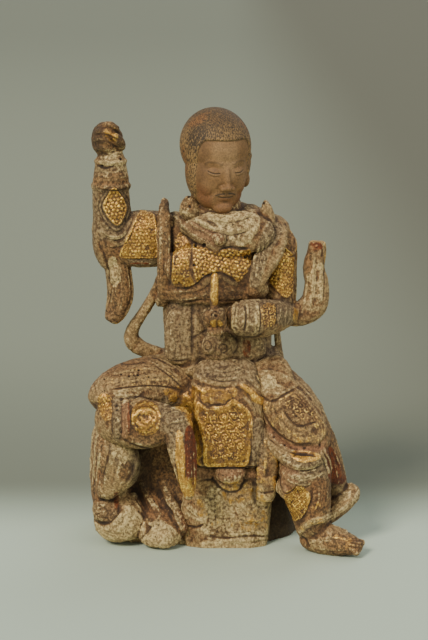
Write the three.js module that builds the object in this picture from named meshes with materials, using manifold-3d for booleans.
// A seated, armoured deity figure carved in one piece of wood with the draped rock that it sits on.
// Millimetres, +Z up. The figure faces -Y, so its right hand is on the -X side. The origin is the
// middle of the floor under the object's own box.
import * as THREE from "three";
import { mergeVertices } from "three/addons/utils/BufferGeometryUtils.js";
import Module from "manifold-3d";

// Driving dimensions. Every station below is written for the carving at designHeight, and scale
// turns the whole of it to carvingHeight.
const carvingHeight = 436;
const designHeight = 436;
const scale = carvingHeight / designHeight;

const headTurn = 20; // degrees, towards the figure's left
const headNod = 11; // degrees, chin down
const headCentre = [-12, -8, 386];
const floorDepth = 60; // how far the trimming box reaches below the floor

const woodColour = 0x8a6a48;

// Share of each limb's own facet counts that is used.
const fineness = 0.64;
const facets = (count, least) => Math.max(least, Math.round(count * fineness));

// A limb's stations are rows of x, y, z, half width and half depth. The width lies along side, ends
// says how blunt its ends are (0 is square), and section how square it is across (2 is an ellipse).
const parts = {
  torso: {
    stations: [
      [-8, 8, 140, 58, 48],
      [-9, 8, 172, 58, 44],
      [-10, 6, 205, 55, 38],
      [-10, 5, 245, 55, 37],
      [-9, 4, 285, 58, 38],
      [-6, 4, 312, 60, 34],
      [-6, 4, 334, 44, 27],
    ],
    around: 28, along: 13, ends: 0.4, section: 2.6,
  },
  neck: { stations: [[-10, 0, 310, 26, 24], [-8, -6, 352, 22, 22]], around: 12, along: 4, ends: 0.4 },
  leftShoulder: { stations: [[24, 3, 306, 24, 26], [44, 2, 306, 23, 24], [58, 1, 300, 16, 18]], side: [0, 0, 1], around: 14, along: 7 },
  rightShoulder: { stations: [[-30, 3, 306, 26, 26], [-52, 2, 306, 25, 25], [-70, 1, 305, 22, 24]], side: [0, 0, 1], around: 14, along: 7 },
  belly: {
    stations: [[-4, -14, 176, 40, 24], [-4, -16, 200, 42, 25], [-4, -12, 226, 36, 22]],
    around: 18, along: 7, ends: 0.7,
  },
  sidePanel: {
    stations: [[-42, -22, 238, 20, 12], [-43, -26, 210, 20, 12], [-44, -28, 184, 19, 12]],
    around: 12, along: 7, ends: 0.3, section: 3.5,
  },
  buckle: {
    stations: [[-9, -37, 190, 12, 8], [-9, -41, 206, 17, 9], [-10, -40, 221, 13, 7]],
    around: 10, along: 7, ends: 0.7,
  },
  chestPlate: {
    stations: [[-20, -29, 256, 38, 10], [-18, -32, 280, 44, 10], [-16, -30, 302, 36, 9]],
    around: 18, along: 7, ends: 0.35, section: 3,
  },
  cowl: {
    stations: [
      [-8, -10, 351, 25, 23],
      [-7, -8, 345, 34, 30],
      [-6, -5, 334, 43, 35],
      [-5, -1, 322, 56, 37],
      [-5, 3, 310, 62, 36],
    ],
    around: 28, along: 8, ends: 0.5, folds: { count: 5, depth: 0.04 },
  },
  robeHem: {
    stations: [[-13, 0, 276, 50, 33], [-14, -2, 260, 58, 38], [-14, 0, 250, 52, 34]],
    around: 26, along: 6, ends: 0.4, section: 2.6, folds: { count: 6, depth: 0.03 },
  },
  scarfFront: {
    stations: [[-9, -36, 294, 9, 7], [-6, -33, 306, 30, 11], [-3, -24, 322, 50, 18], [-4, -10, 334, 44, 24]],
    around: 18, along: 8, ends: 0.6,
  },
  diagonalSash: {
    stations: [[54, -8, 318, 10, 8], [45, -26, 300, 11, 9], [31, -35, 278, 10, 8], [20, -38, 254, 9, 7]],
    around: 8, along: 8, ends: 0.4, section: 3,
  },
  rightKnot: {
    stations: [[-34, -12, 326, 9, 8], [-38, -14, 338, 10, 8], [-39, -14, 350, 6, 6]],
    around: 8, along: 6, ends: 0.6,
  },
  leftKnot: {
    stations: [[36, -12, 322, 10, 9], [37, -14, 336, 9, 8], [36, -14, 347, 6, 6]],
    around: 8, along: 6, ends: 0.6,
  },
  rightShoulderRibbon: {
    stations: [
      [-68, -8, 348, 2, 5],
      [-67, -20, 330, 4, 8],
      [-65, -24, 300, 5, 10],
      [-64, -22, 268, 5, 10],
      [-66, -10, 244, 5, 9],
      [-68, 2, 236, 5, 8],
    ],
    around: 8, along: 11, ends: 0.5, section: 3,
  },
  rightRibbonLoop: {
    stations: [
      [-68, 0, 266, 6, 9],
      [-72, 4, 250, 6, 9],
      [-85, 6, 229, 6, 9],
      [-97, 8, 211, 6, 9],
      [-98, 8, 199, 6, 9],
      [-86, 9, 191, 6, 10],
      [-62, 10, 186, 7, 11],
    ],
    side: [-1, 0, 1], around: 8, along: 16, ends: 0.4, section: 3,
  },
  leftRibbon: {
    stations: [[44, 12, 236, 4, 7], [49, 20, 212, 3, 8], [52, 24, 190, 3, 8], [56, 22, 166, 4, 8]],
    around: 8, along: 8, ends: 0.4, section: 3,
  },
  leftUpperArm: {
    stations: [
      [44, 2, 312, 18, 18],
      [50, 1, 298, 19, 20],
      [51, -2, 272, 17, 20],
      [51, -8, 246, 17, 18],
      [52, -14, 228, 15, 15],
    ],
    around: 16, along: 9, ends: 0.4,
  },
  leftForearm: {
    stations: [
      [64, -12, 231, 12, 12],
      [46, -32, 233, 17, 17],
      [28, -48, 234, 20, 19],
      [12, -57, 237, 18, 18],
      [0, -62, 241, 12, 12],
    ],
    side: [0, 1, 0], around: 16, along: 9, ends: 0.3,
  },
  leftSleeveTip: {
    stations: [
      [56, -12, 230, 12, 12],
      [72, -8, 231, 13, 12],
      [85, -6, 240, 14, 12],
      [88, -5, 258, 12, 11],
      [85, -4, 276, 10, 10],
      [87, -4, 294, 9, 9],
      [87, -4, 304, 8, 8],
    ],
    side: [1, 0, -1], around: 14, along: 13, ends: 0.3,
  },
  leftPalm: {
    stations: [[-3, -64, 238, 12, 11], [-13, -67, 237, 14, 10], [-22, -66, 238, 10, 8]],
    side: [0, 0, 1], around: 12, along: 7, ends: 0.5,
  },
  rightUpperArm: {
    stations: [
      [-44, 2, 306, 22, 27],
      [-68, 0, 305, 22, 28],
      [-88, -2, 305, 22, 28],
      [-104, -4, 302, 20, 25],
      [-118, -6, 298, 16, 18],
    ],
    side: [0, 1, 0], around: 18, along: 9, ends: 0.25, section: 3,
  },
  rightForearm: {
    stations: [
      [-116, -5, 276, 15, 14],
      [-116, -6, 298, 20, 18],
      [-114, -9, 326, 19, 18],
      [-114, -10, 350, 18, 17],
      [-114, -12, 376, 15, 15],
      [-114, -12, 396, 13, 12],
    ],
    around: 16, along: 11, ends: 0.35,
  },
  rightFist: {
    stations: [[-115, -12, 388, 12, 12], [-118, -13, 400, 15, 14], [-118, -13, 412, 15, 14], [-117, -13, 422, 11, 11]],
    around: 12, along: 8, ends: 0.5,
  },
  rightSleeveTip: {
    stations: [
      [-112, -5, 296, 16, 13],
      [-109, -5, 280, 13, 12],
      [-108, -5, 265, 12, 11],
      [-106, -5, 250, 12, 11],
      [-108, -5, 236, 12, 10],
      [-114, -6, 225, 10, 9],
    ],
    around: 14, along: 12, ends: 0.35,
  },
  hipRobe: {
    stations: [[-98, 10, 150, 40, 26], [-60, 14, 152, 56, 32], [-10, 14, 152, 58, 36], [34, 14, 150, 50, 32], [62, 12, 140, 34, 22]],
    side: [0, 1, 0], around: 20, along: 9, ends: 0.45,
  },
  rightThigh: {
    stations: [
      [-12, 6, 162, 36, 34],
      [-50, -8, 161, 34, 31],
      [-88, -28, 159, 31, 30],
      [-112, -44, 153, 30, 28],
      [-122, -52, 140, 24, 26],
    ],
    side: [0, 1, 0], around: 20, along: 10, ends: 0.4,
  },
  rightShin: {
    stations: [
      [-124, -46, 136, 20, 24],
      [-108, -60, 135, 23, 25],
      [-84, -70, 134, 21, 25],
      [-62, -76, 137, 18, 21],
      [-50, -78, 141, 15, 16],
    ],
    side: [0, 1, 0], around: 18, along: 10, ends: 0.4,
  },
  rightFoot: {
    stations: [
      [-53, -74, 150, 14, 14],
      [-49, -80, 132, 15, 15],
      [-44, -85, 108, 13, 14],
      [-40, -88, 84, 10, 12],
      [-38, -90, 63, 6, 8],
    ],
    around: 14, along: 10, ends: 0.4,
  },
  leftThigh: {
    stations: [
      [8, 2, 164, 34, 34],
      [34, -16, 158, 33, 32],
      [60, -34, 138, 31, 30],
      [76, -46, 114, 28, 27],
      [80, -50, 96, 23, 23],
    ],
    around: 20, along: 10, ends: 0.4,
  },
  leftShin: {
    stations: [
      [74, -46, 114, 27, 24],
      [75, -54, 90, 27, 25],
      [78, -59, 62, 24, 22],
      [82, -60, 38, 20, 20],
      [82, -58, 14, 18, 18],
    ],
    around: 18, along: 11, ends: 0.35,
  },
  leftFoot: {
    stations: [
      [74, -52, 13, 16, 14],
      [90, -60, 15, 16, 17],
      [108, -68, 13, 15, 14],
      [122, -74, 11, 14, 10],
      [131, -78, 10, 10, 7],
    ],
    side: [0, 1, 0], around: 14, along: 9, ends: 0.35,
  },
  skirtFall: {
    stations: [
      [84, -28, 134, 13, 20],
      [92, -28, 110, 14, 22],
      [98, -28, 86, 15, 22],
      [105, -30, 64, 14, 20],
      [113, -32, 46, 11, 14],
    ],
    around: 12, along: 9, ends: 0.4,
  },
  skirtFlare: {
    stations: [
      [74, -38, 20, 18, 12],
      [92, -36, 24, 22, 14],
      [108, -34, 34, 20, 13],
      [121, -33, 47, 16, 12],
      [127, -33, 58, 9, 8],
    ],
    side: [0, 1, 0], around: 12, along: 10, ends: 0.35,
  },
  apron: {
    stations: [
      [-2, -30, 186, 32, 18],
      [-2, -44, 162, 35, 17],
      [0, -48, 130, 35, 16],
      [0, -52, 104, 36, 14],
      [0, -53, 86, 35, 11],
    ],
    around: 20, along: 9, ends: 0.15, section: 4,
  },
  apronLobe: {
    stations: [[2, -56, 92, 15, 8], [2, -57, 78, 14, 8], [2, -57, 70, 9, 6]],
    around: 10, along: 6, ends: 0.5,
  },
  innerSash: {
    stations: [[36, -48, 130, 6, 8], [40, -56, 106, 9, 9], [39, -58, 80, 10, 9], [37, -58, 52, 11, 8]],
    around: 10, along: 9, ends: 0.35, section: 3,
  },
  hipFlap: {
    stations: [[36, -20, 184, 20, 14], [46, -34, 170, 19, 13], [56, -42, 156, 14, 10]],
    around: 12, along: 7, ends: 0.3, section: 3.5,
  },
  tassetHem: {
    stations: [[36, -48, 126, 7, 9], [50, -66, 106, 8, 8], [72, -76, 96, 8, 8], [96, -62, 104, 8, 9]],
    side: [0, 0, 1], around: 10, along: 10, ends: 0.4,
  },
  kneeCloth: {
    stations: [[54, -62, 86, 12, 12], [70, -68, 80, 16, 16], [88, -60, 82, 14, 14]],
    side: [0, 0, 1], around: 12, along: 7, ends: 0.5,
  },
  kneeKnot: {
    stations: [[54, -66, 80, 10, 10], [60, -70, 66, 11, 9], [62, -70, 54, 6, 6]],
    around: 10, along: 7, ends: 0.6,
  },
  drapeLeaf: {
    stations: [
      [-122, -50, 126, 13, 12],
      [-112, -58, 106, 20, 12],
      [-106, -58, 84, 19, 11],
      [-116, -54, 66, 13, 10],
      [-124, -48, 52, 8, 8],
    ],
    around: 14, along: 11, ends: 0.35,
  },
  drapeSide: {
    stations: [[-122, -22, 122, 14, 30], [-124, -20, 90, 13, 34], [-125, -18, 58, 13, 34], [-124, -10, 26, 13, 30]],
    around: 16, along: 9, ends: 0.3,
  },
  drapeFoot: {
    stations: [[-128, -36, 52, 9, 10], [-124, -42, 40, 12, 12], [-124, -38, 26, 12, 12]],
    around: 10, along: 7, ends: 0.5,
  },
  rockLobe: {
    stations: [[-112, -20, 54, 20, 24], [-108, -27, 30, 28, 29], [-103, -26, 4, 28, 28]],
    around: 16, along: 9, ends: 0.5,
  },
  rockToe: {
    stations: [[-76, -30, 36, 14, 14], [-68, -40, 16, 22, 20], [-66, -40, 2, 21, 19]],
    around: 14, along: 7, ends: 0.5,
  },
  upperStrip: {
    stations: [[-96, -16, 80, 6, 8], [-80, -32, 50, 7, 9], [-58, -48, 14, 8, 9]],
    around: 8, along: 8, ends: 0.3,
  },
  lowerStrip: {
    stations: [[-78, -12, 84, 5, 7], [-62, -30, 56, 6, 8], [-42, -50, 18, 7, 8]],
    around: 8, along: 8, ends: 0.3,
  },
  foldedEnd: {
    stations: [[-38, -52, 62, 9, 8], [-36, -54, 46, 13, 9], [-33, -53, 34, 10, 8]],
    around: 10, along: 7, ends: 0.5,
  },
  frontDrape: {
    stations: [
      [-4, -18, 140, 44, 26],
      [-2, -24, 110, 44, 27],
      [-1, -26, 70, 44, 27],
      [-2, -26, 30, 46, 26],
      [-2, -26, -16, 46, 26],
    ],
    around: 44, along: 10, ends: 0.15, section: 3.5, folds: { count: 9, depth: 0.035 },
  },
};

// The rock seat: a column on a rounded rectangle, narrower at its top, with cloth folds round it.
const seat = {
  centre: [-32, 22],
  height: 150,
  footHalf: [104, 62],
  topHalf: [80, 48],
  squareness: 2.5,
  foldCount: 17,
  foldDepth: 0.03,
  around: 68,
  rings: 7,
};

// Hollows carved into the seat before the figure is joined to it.
const hollows = {
  underShin: {
    stations: [[-82, -66, 104, 21, 30], [-82, -58, 76, 22, 36], [-88, -56, 48, 17, 26]],
    around: 14, along: 8, ends: 0.6,
  },
  besideLeftLeg: {
    stations: [[66, -60, 78, 21, 36], [66, -50, 40, 21, 46], [66, -50, -14, 21, 46]],
    around: 14, along: 6, ends: 0.35,
  },
};

// Rings that are closed round the body: centre, half sizes, thickness and forward tilt in degrees.
const rings = {
  belt: { centre: [-8, 2, 184], half: [54, 41], tube: 7, tilt: 8 },
};
const ringSides = 8;
const ringSteps = 28;

// Closed hands and toes: each finger is a short limb of this half thickness.
const raisedFinger = { from: [-14, -69, 244], to: [-13, -70, 284], half: 4.6 };
const curledFingers = { count: 3, first: [-8, -76, 248], last: [-20, -75, 247], reach: [0, 2, -14], half: 3.8 };
const leftThumb = { from: [-6, -72, 228], to: [-20, -76, 227], half: 4.4 };
const fistFingers = { count: 4, first: [-129, -18, 397], last: [-112, -20, 419], reach: [7, -8, -4], half: 5 };
const fistThumb = { from: [-106, -20, 397], to: [-112, -27, 408], half: 4.6 };
const toes = { count: 5, first: [127, -66, 12], last: [124, -86, 7], reach: [9, -4, 0], half: 4.2 };
const medallion = { centre: [-80, -84, 135], radius: 21, thickness: 10 };
const cuffs = [
  { centre: [-115, -10, 359], half: [16, 16], tube: 3.5, tilt: 0 },
  { centre: [-115, -12, 380], half: [13, 13], tube: 3, tilt: 0 },
];

const wasm = await Module();
wasm.setup();

// A three.js geometry as a solid that can be joined and cut.
function solidFrom(geometry) {
  const bare = geometry.index ? geometry.toNonIndexed() : geometry.clone();
  bare.deleteAttribute("normal");
  bare.deleteAttribute("uv");
  const merged = mergeVertices(bare, 1e-4);
  return new wasm.Manifold(
    new wasm.Mesh({
      numProp: 3,
      vertProperties: new Float32Array(merged.attributes.position.array),
      triVerts: new Uint32Array(merged.index.array),
    }),
  );
}

// The value at share of a row of evenly spaced numbers, along a smooth curve through them.
function smoothValue(numbers, share) {
  const last = numbers.length - 1;
  const place = THREE.MathUtils.clamp(share, 0, 1) * last;
  const i = Math.min(Math.floor(place), last - 1);
  const t = place - i;
  const before = numbers[Math.max(i - 1, 0)];
  const after = numbers[Math.min(i + 2, last)];
  const slopeIn = (numbers[i + 1] - before) / (i > 0 ? 2 : 1);
  const slopeOut = (after - numbers[i]) / (i + 2 <= last ? 2 : 1);
  return (
    (2 * t ** 3 - 3 * t ** 2 + 1) * numbers[i] +
    (t ** 3 - 2 * t ** 2 + t) * slopeIn +
    (3 * t ** 2 - 2 * t ** 3) * numbers[i + 1] +
    (t ** 3 - t ** 2) * slopeOut
  );
}

// A sine or cosine pushed outwards, so that a section runs from an ellipse (2) towards a rectangle.
function squared(value, section) {
  return Math.sign(value) * Math.abs(value) ** (2 / section);
}

// A rounded body swept along its stations: a sphere whose rings are carried along the spine.
function limb({ stations, side = [1, 0, 0], around = 12, along = 8, ends = 0.5, section = 2, folds = null }) {
  const columns = stations[0].map((_, c) => stations.map((row) => row[c]));
  const spine = (s) => new THREE.Vector3(...[0, 1, 2].map((c) => smoothValue(columns[c], s)));
  const geometry = new THREE.SphereGeometry(1, facets(around, 6), facets(along, 4));
  const position = geometry.attributes.position;
  const sideHint = new THREE.Vector3(...side).normalize();
  const step = 0.01;
  for (let i = 0; i < position.count; i++) {
    const height = THREE.MathUtils.clamp(position.getY(i), -1, 1);
    const ringRadius = Math.hypot(position.getX(i), position.getZ(i));
    const angle = Math.atan2(position.getZ(i), position.getX(i));
    const share = (1 - height) / 2;
    const middle = spine(share);
    const tangent = spine(Math.min(share + step, 1)).sub(spine(Math.max(share - step, 0))).normalize();
    const across = sideHint.clone().addScaledVector(tangent, -sideHint.dot(tangent)).normalize();
    const through = new THREE.Vector3().crossVectors(tangent, across);
    const fullness = ringRadius < 1e-6 ? 0 : ringRadius ** ends;
    const fold = folds ? 1 + folds.depth * Math.cos(folds.count * 2 * angle) : 1;
    const wide = smoothValue(columns[3], share) * fullness * fold;
    const deep = smoothValue(columns[4], share) * fullness * fold;
    middle.addScaledVector(across, squared(Math.cos(angle), section) * wide);
    middle.addScaledVector(through, squared(Math.sin(angle), section) * deep);
    position.setXYZ(i, middle.x, middle.y, middle.z);
  }
  return solidFrom(facingOut(geometry));
}

// The geometry with its faces turned outwards, whichever way the sweep turned them.
function facingOut(geometry) {
  const p = geometry.attributes.position;
  const index = geometry.index;
  let volume = 0;
  const a = new THREE.Vector3();
  const b = new THREE.Vector3();
  const c = new THREE.Vector3();
  for (let i = 0; i < index.count; i += 3) {
    a.fromBufferAttribute(p, index.getX(i));
    b.fromBufferAttribute(p, index.getX(i + 1));
    c.fromBufferAttribute(p, index.getX(i + 2));
    volume += a.dot(b.cross(c));
  }
  if (volume < 0) {
    for (let i = 0; i < index.count; i += 3) {
      const kept = index.getX(i + 1);
      index.setX(i + 1, index.getX(i + 2));
      index.setX(i + 2, kept);
    }
  }
  return geometry;
}

// A straight limb with round ends, for a finger or a toe.
function finger(from, to, half) {
  const between = from.map((v, c) => (v + to[c]) / 2);
  const leaning = Math.abs(to[2] - from[2]) < Math.abs(to[0] - from[0]);
  return limb({
    stations: [[...from, half, half], [...between, half * 1.08, half * 1.08], [...to, half * 0.85, half * 0.85]],
    side: leaning ? [0, 0, 1] : [1, 0, 0],
    around: 8,
    along: 5,
    ends: 0.5,
  });
}

// Evenly spaced fingers from the first root to the last, each reaching by the same vector.
function fingers({ count, first, last, reach, half }) {
  return Array.from({ length: count }, (_, n) => {
    const share = n / (count - 1);
    const root = first.map((v, c) => v + (last[c] - v) * share);
    return finger(root, root.map((v, c) => v + reach[c]), half);
  });
}

// A closed roll round the body, squeezed to its two half sizes and tilted forwards.
function ring({ centre, half, tube, tilt }) {
  const around = new THREE.TorusGeometry(1, tube / Math.min(...half), facets(ringSides, 6), facets(ringSteps, 16));
  const place = new THREE.Matrix4()
    .makeTranslation(...centre)
    .multiply(new THREE.Matrix4().makeRotationX(THREE.MathUtils.degToRad(tilt)))
    .multiply(new THREE.Matrix4().makeScale(half[0], half[1], Math.min(...half)));
  return solidFrom(around.applyMatrix4(place));
}

// The head, turned and nodded about its centre: skull, jaw, brow, nose, lips and ears.
function head() {
  const masses = [
    { centre: [0, 5, 17], half: [33, 38, 32], around: 24, along: 14 },
    { centre: [0, -1, -6], half: [30, 33, 36], around: 20, along: 12 },
    { centre: [0, -12, -24], half: [23, 23, 22], around: 16, along: 10 },
    { centre: [0, -33, -10], half: [4.5, 6, 11], around: 8, along: 6 },
    { centre: [0, -33, -17], half: [6.5, 6.5, 4.5], around: 8, along: 6 },
    { centre: [0, -31, -28], half: [9, 4.5, 4], around: 8, along: 6 },
    { centre: [-30, 4, -8], half: [5, 8, 17], around: 8, along: 6 },
    { centre: [32, 0, -10], half: [5, 9, 18], around: 8, along: 6 },
  ];
  const turn = new THREE.Matrix4()
    .makeTranslation(...headCentre)
    .multiply(new THREE.Matrix4().makeRotationZ(THREE.MathUtils.degToRad(headTurn)))
    .multiply(new THREE.Matrix4().makeRotationX(THREE.MathUtils.degToRad(headNod)));
  return masses.map(({ centre, half, around, along }) => {
    const mass = new THREE.SphereGeometry(1, facets(around, 6), facets(along, 4)).rotateX(Math.PI / 2);
    mass.scale(...half).translate(...centre);
    return solidFrom(mass.applyMatrix4(turn));
  });
}

// The seat's column, pushed in and out by its folds.
function rockSeat() {
  const { centre, height, footHalf, topHalf, squareness, foldCount, foldDepth } = seat;
  const column = new THREE.CylinderGeometry(1, 1, height, facets(seat.around, 24), seat.rings).rotateX(Math.PI / 2);
  column.translate(0, 0, height / 2);
  const position = column.attributes.position;
  for (let i = 0; i < position.count; i++) {
    const x = position.getX(i);
    const y = position.getY(i);
    const share = position.getZ(i) / height;
    const half = footHalf.map((v, c) => v + (topHalf[c] - v) * share ** 1.6);
    const angle = Math.atan2(y, x);
    const reach =
      (Math.abs(Math.cos(angle)) ** squareness + Math.abs(Math.sin(angle)) ** squareness) ** (-1 / squareness);
    const fold = 1 + foldDepth * Math.cos(foldCount * angle + 2 * share) * (1 - 0.4 * share);
    const radius = Math.hypot(x, y) * reach * fold;
    position.setXY(i, centre[0] + half[0] * radius * Math.cos(angle), centre[1] + half[1] * radius * Math.sin(angle));
  }
  return solidFrom(column);
}

// The round boss on the shin guard.
function shinMedallion() {
  const { centre, radius, thickness } = medallion;
  const boss = new THREE.CylinderGeometry(radius * 0.8, radius, thickness, 22, 1);
  boss.rotateX(Math.PI).translate(...centre);
  return solidFrom(boss);
}

function join(solids) {
  return solids.reduce((whole, next) => whole.add(next));
}

// Everything below the floor is cut off flat.
function trimToFloor(solid) {
  const box = new THREE.Box3().setFromArray(solid.getMesh().vertProperties);
  const size = box.getSize(new THREE.Vector3());
  const under = new THREE.BoxGeometry(size.x * 2, size.y * 2, floorDepth);
  const middle = box.getCenter(new THREE.Vector3());
  return solid.subtract(solidFrom(under.translate(middle.x, middle.y, -floorDepth / 2)));
}

function carving() {
  const carvedSeat = Object.values(hollows).reduce((rock, hollow) => rock.subtract(limb(hollow)), rockSeat());
  const whole = join([
    carvedSeat,
    ...Object.values(parts).map(limb),
    ...[...Object.values(rings), ...cuffs].map(ring),
    ...head(),
    ...fingers(curledFingers),
    ...fingers(fistFingers),
    ...fingers(toes),
    finger(raisedFinger.from, raisedFinger.to, raisedFinger.half),
    finger(leftThumb.from, leftThumb.to, leftThumb.half),
    finger(fistThumb.from, fistThumb.to, fistThumb.half),
    shinMedallion(),
  ]);
  return outerSkin(trimToFloor(whole));
}

// The largest closed surface alone, so that no small hollow stays sealed inside the wood.
function outerSkin(solid) {
  return solid.decompose().reduce((kept, next) => (next.volume() > kept.volume() ? next : kept));
}

function geometryFrom(solid) {
  const mesh = solid.getMesh();
  const geometry = new THREE.BufferGeometry();
  geometry.setAttribute("position", new THREE.BufferAttribute(new Float32Array(mesh.vertProperties), 3));
  geometry.setIndex(new THREE.BufferAttribute(new Uint32Array(mesh.triVerts), 1));
  geometry.scale(scale, scale, scale);
  return geometry;
}

const statueGeometry = geometryFrom(carving());
statueGeometry.computeBoundingBox();
const box = statueGeometry.boundingBox;
const middle = box.getCenter(new THREE.Vector3());

const statue = new THREE.Mesh(
  statueGeometry,
  new THREE.MeshStandardMaterial({ color: woodColour, roughness: 0.75, metalness: 0.0 }),
);
statue.name = "statue";
statue.position.set(-middle.x, -middle.y, -box.min.z);

const model = new THREE.Group();
model.add(statue);

export default model;
